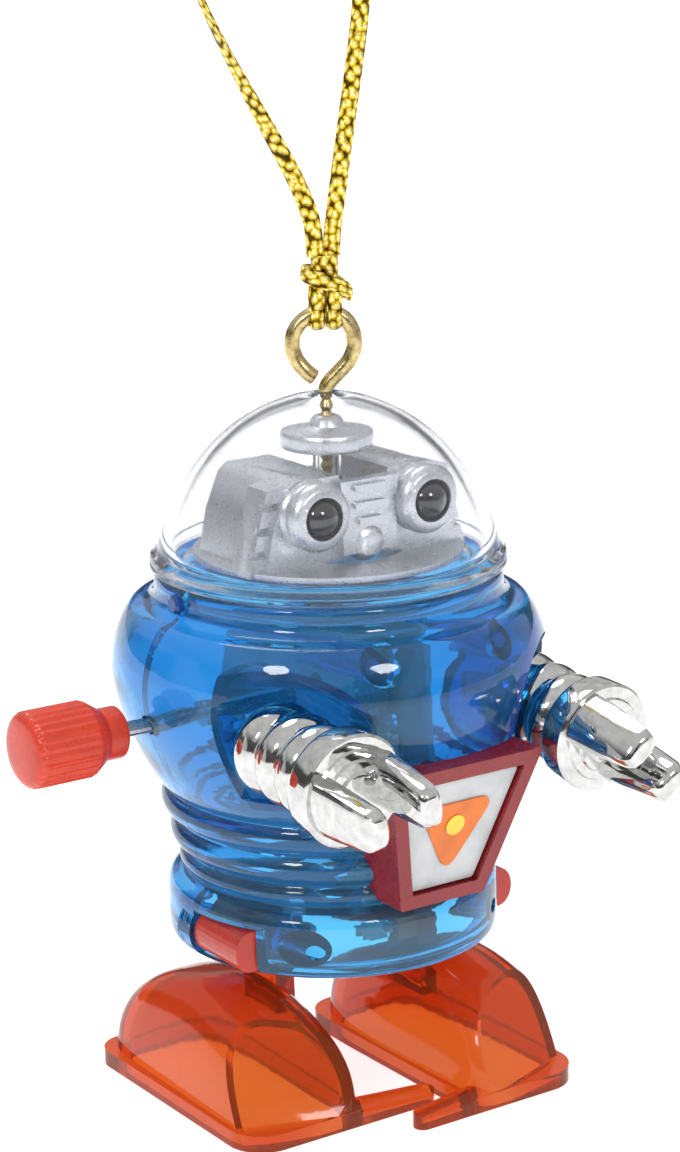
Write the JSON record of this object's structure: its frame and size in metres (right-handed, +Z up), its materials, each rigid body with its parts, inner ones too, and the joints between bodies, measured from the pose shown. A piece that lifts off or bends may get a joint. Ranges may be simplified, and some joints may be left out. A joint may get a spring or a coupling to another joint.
{
  "type": "wind-up walking robot ornament",
  "caption": "Clear-bodied wind-up walking toy robot with a domed head, claw arms, side winding key, chest box, feet driven by an inner crank and a gold hanging cord.",
  "frame": {"origin": "on the floor under the middle of the robot's box, the free cord and its knot not counted", "axes": "+Z up through the dome, -Y the way the robot faces, -X its right side, where the winding knob is"},
  "size_m": [0.0666, 0.065, 0.153],
  "materials": {
    "blue_shell": "gloss",
    "clear_dome": "gloss",
    "silver_paint": "satin",
    "black_eye": "gloss",
    "clear_tube": "gloss",
    "brass_wire": "polished",
    "gold_cord": "satin",
    "red_box": "satin",
    "label_white": "satin",
    "badge_orange": "satin",
    "badge_yellow": "satin",
    "red_frame": "gloss",
    "clear_plate": "gloss",
    "gear_plastic": "satin",
    "steel": "polished",
    "crank_plastic": "satin",
    "red_knob": "satin",
    "chromed_plastic": "polished",
    "blue_pin": "gloss",
    "orange_foot": "gloss"
  },
  "bodies": {
    "root": {"front_shell": "blue_shell", "rear_shell": "blue_shell", "dome": "clear_dome", "head": "silver_paint", "eye_right": "black_eye", "eye_left": "black_eye", "antenna_disc": "silver_paint", "antenna_tube": "clear_tube", "screw_eye": "brass_wire", "cord_knot": "gold_cord", "hanging_cord": "gold_cord", "chest_box": "red_box", "chest_label": "label_white", "chest_badge": "badge_orange", "badge_dot": "badge_yellow", "frame": "red_frame", "motor_plate_right": "clear_plate", "motor_plate_left": "clear_plate", "mainspring": "steel", "dome_pin_right": "blue_pin", "dome_pin_left": "blue_pin", "shoulder_pin_right": "blue_pin", "shoulder_pin_left": "blue_pin", "screw_lower_right": "steel", "screw_lower_left": "steel", "screw_upper_right": "steel", "screw_upper_left": "steel"},
    "crank": {"crank_axle": "steel", "crank_pinion": "gear_plastic", "crank_disc_right": "crank_plastic", "crank_disc_left": "crank_plastic"},
    "winder": {"knob": "red_knob", "winding_arbor": "steel", "main_gear": "gear_plastic"},
    "second": {"second_pinion": "gear_plastic", "second_wheel": "gear_plastic"},
    "escapement": {"escape_wheel": "gear_plastic"},
    "pallet": {"pallet": "gear_plastic"},
    "arm_right": {"arm_right": "chromed_plastic"},
    "arm_left": {"arm_left": "chromed_plastic"},
    "foot_right": {"foot_right": "orange_foot"},
    "foot_left": {"foot_left": "orange_foot"}
  },
  "joints": [
    {"name": "crank_spin", "type": "hinge", "parent": "root", "child": "crank", "pos_m": [0.00783, 0.00545, 0.0218], "axis": [1, 0, 0], "continuous": true},
    {"name": "foot_right_pin", "type": "hinge", "parent": "crank", "child": "foot_right", "pos_m": [-0.00067, 0.00812, 0.0218], "axis": [1, 0, 0], "continuous": true},
    {"name": "foot_left_pin", "type": "hinge", "parent": "crank", "child": "foot_left", "pos_m": [0.01633, 0.00278, 0.0218], "axis": [1, 0, 0], "continuous": true},
    {"name": "second_spin", "type": "hinge", "parent": "root", "child": "second", "pos_m": [0.00783, 0.00711, 0.0357], "axis": [1, 0, 0], "continuous": true},
    {"name": "winder_spin", "type": "hinge", "parent": "root", "child": "winder", "pos_m": [0.00783, 0.00695, 0.0482], "axis": [1, 0, 0], "continuous": true},
    {"name": "escape_spin", "type": "hinge", "parent": "root", "child": "escapement", "pos_m": [0.00783, 0.01751, 0.0417], "axis": [1, 0, 0], "continuous": true},
    {"name": "pallet_rock", "type": "hinge", "parent": "root", "child": "pallet", "pos_m": [0.00783, 0.0224, 0.04398], "axis": [1, 0, 0], "range_deg": [-4, 4]},
    {"name": "arm_right_swing", "type": "hinge", "parent": "root", "child": "arm_right", "pos_m": [-0.00927, -0.00155, 0.0482], "axis": [1, 0, 0], "range_deg": [-12, 4]},
    {"name": "arm_left_swing", "type": "hinge", "parent": "root", "child": "arm_left", "pos_m": [0.02493, -0.00155, 0.0482], "axis": [1, 0, 0], "range_deg": [-13.8, 2.2]}
  ],
  "couplings": [
    {"joint": "foot_right_pin", "follows": "crank_spin", "ratio": -1},
    {"joint": "foot_left_pin", "follows": "crank_spin", "ratio": -1},
    {"joint": "second_spin", "follows": "crank_spin", "ratio": -0.4},
    {"joint": "winder_spin", "follows": "crank_spin", "ratio": 0.1},
    {"joint": "escape_spin", "follows": "crank_spin", "ratio": 2}
  ]
}
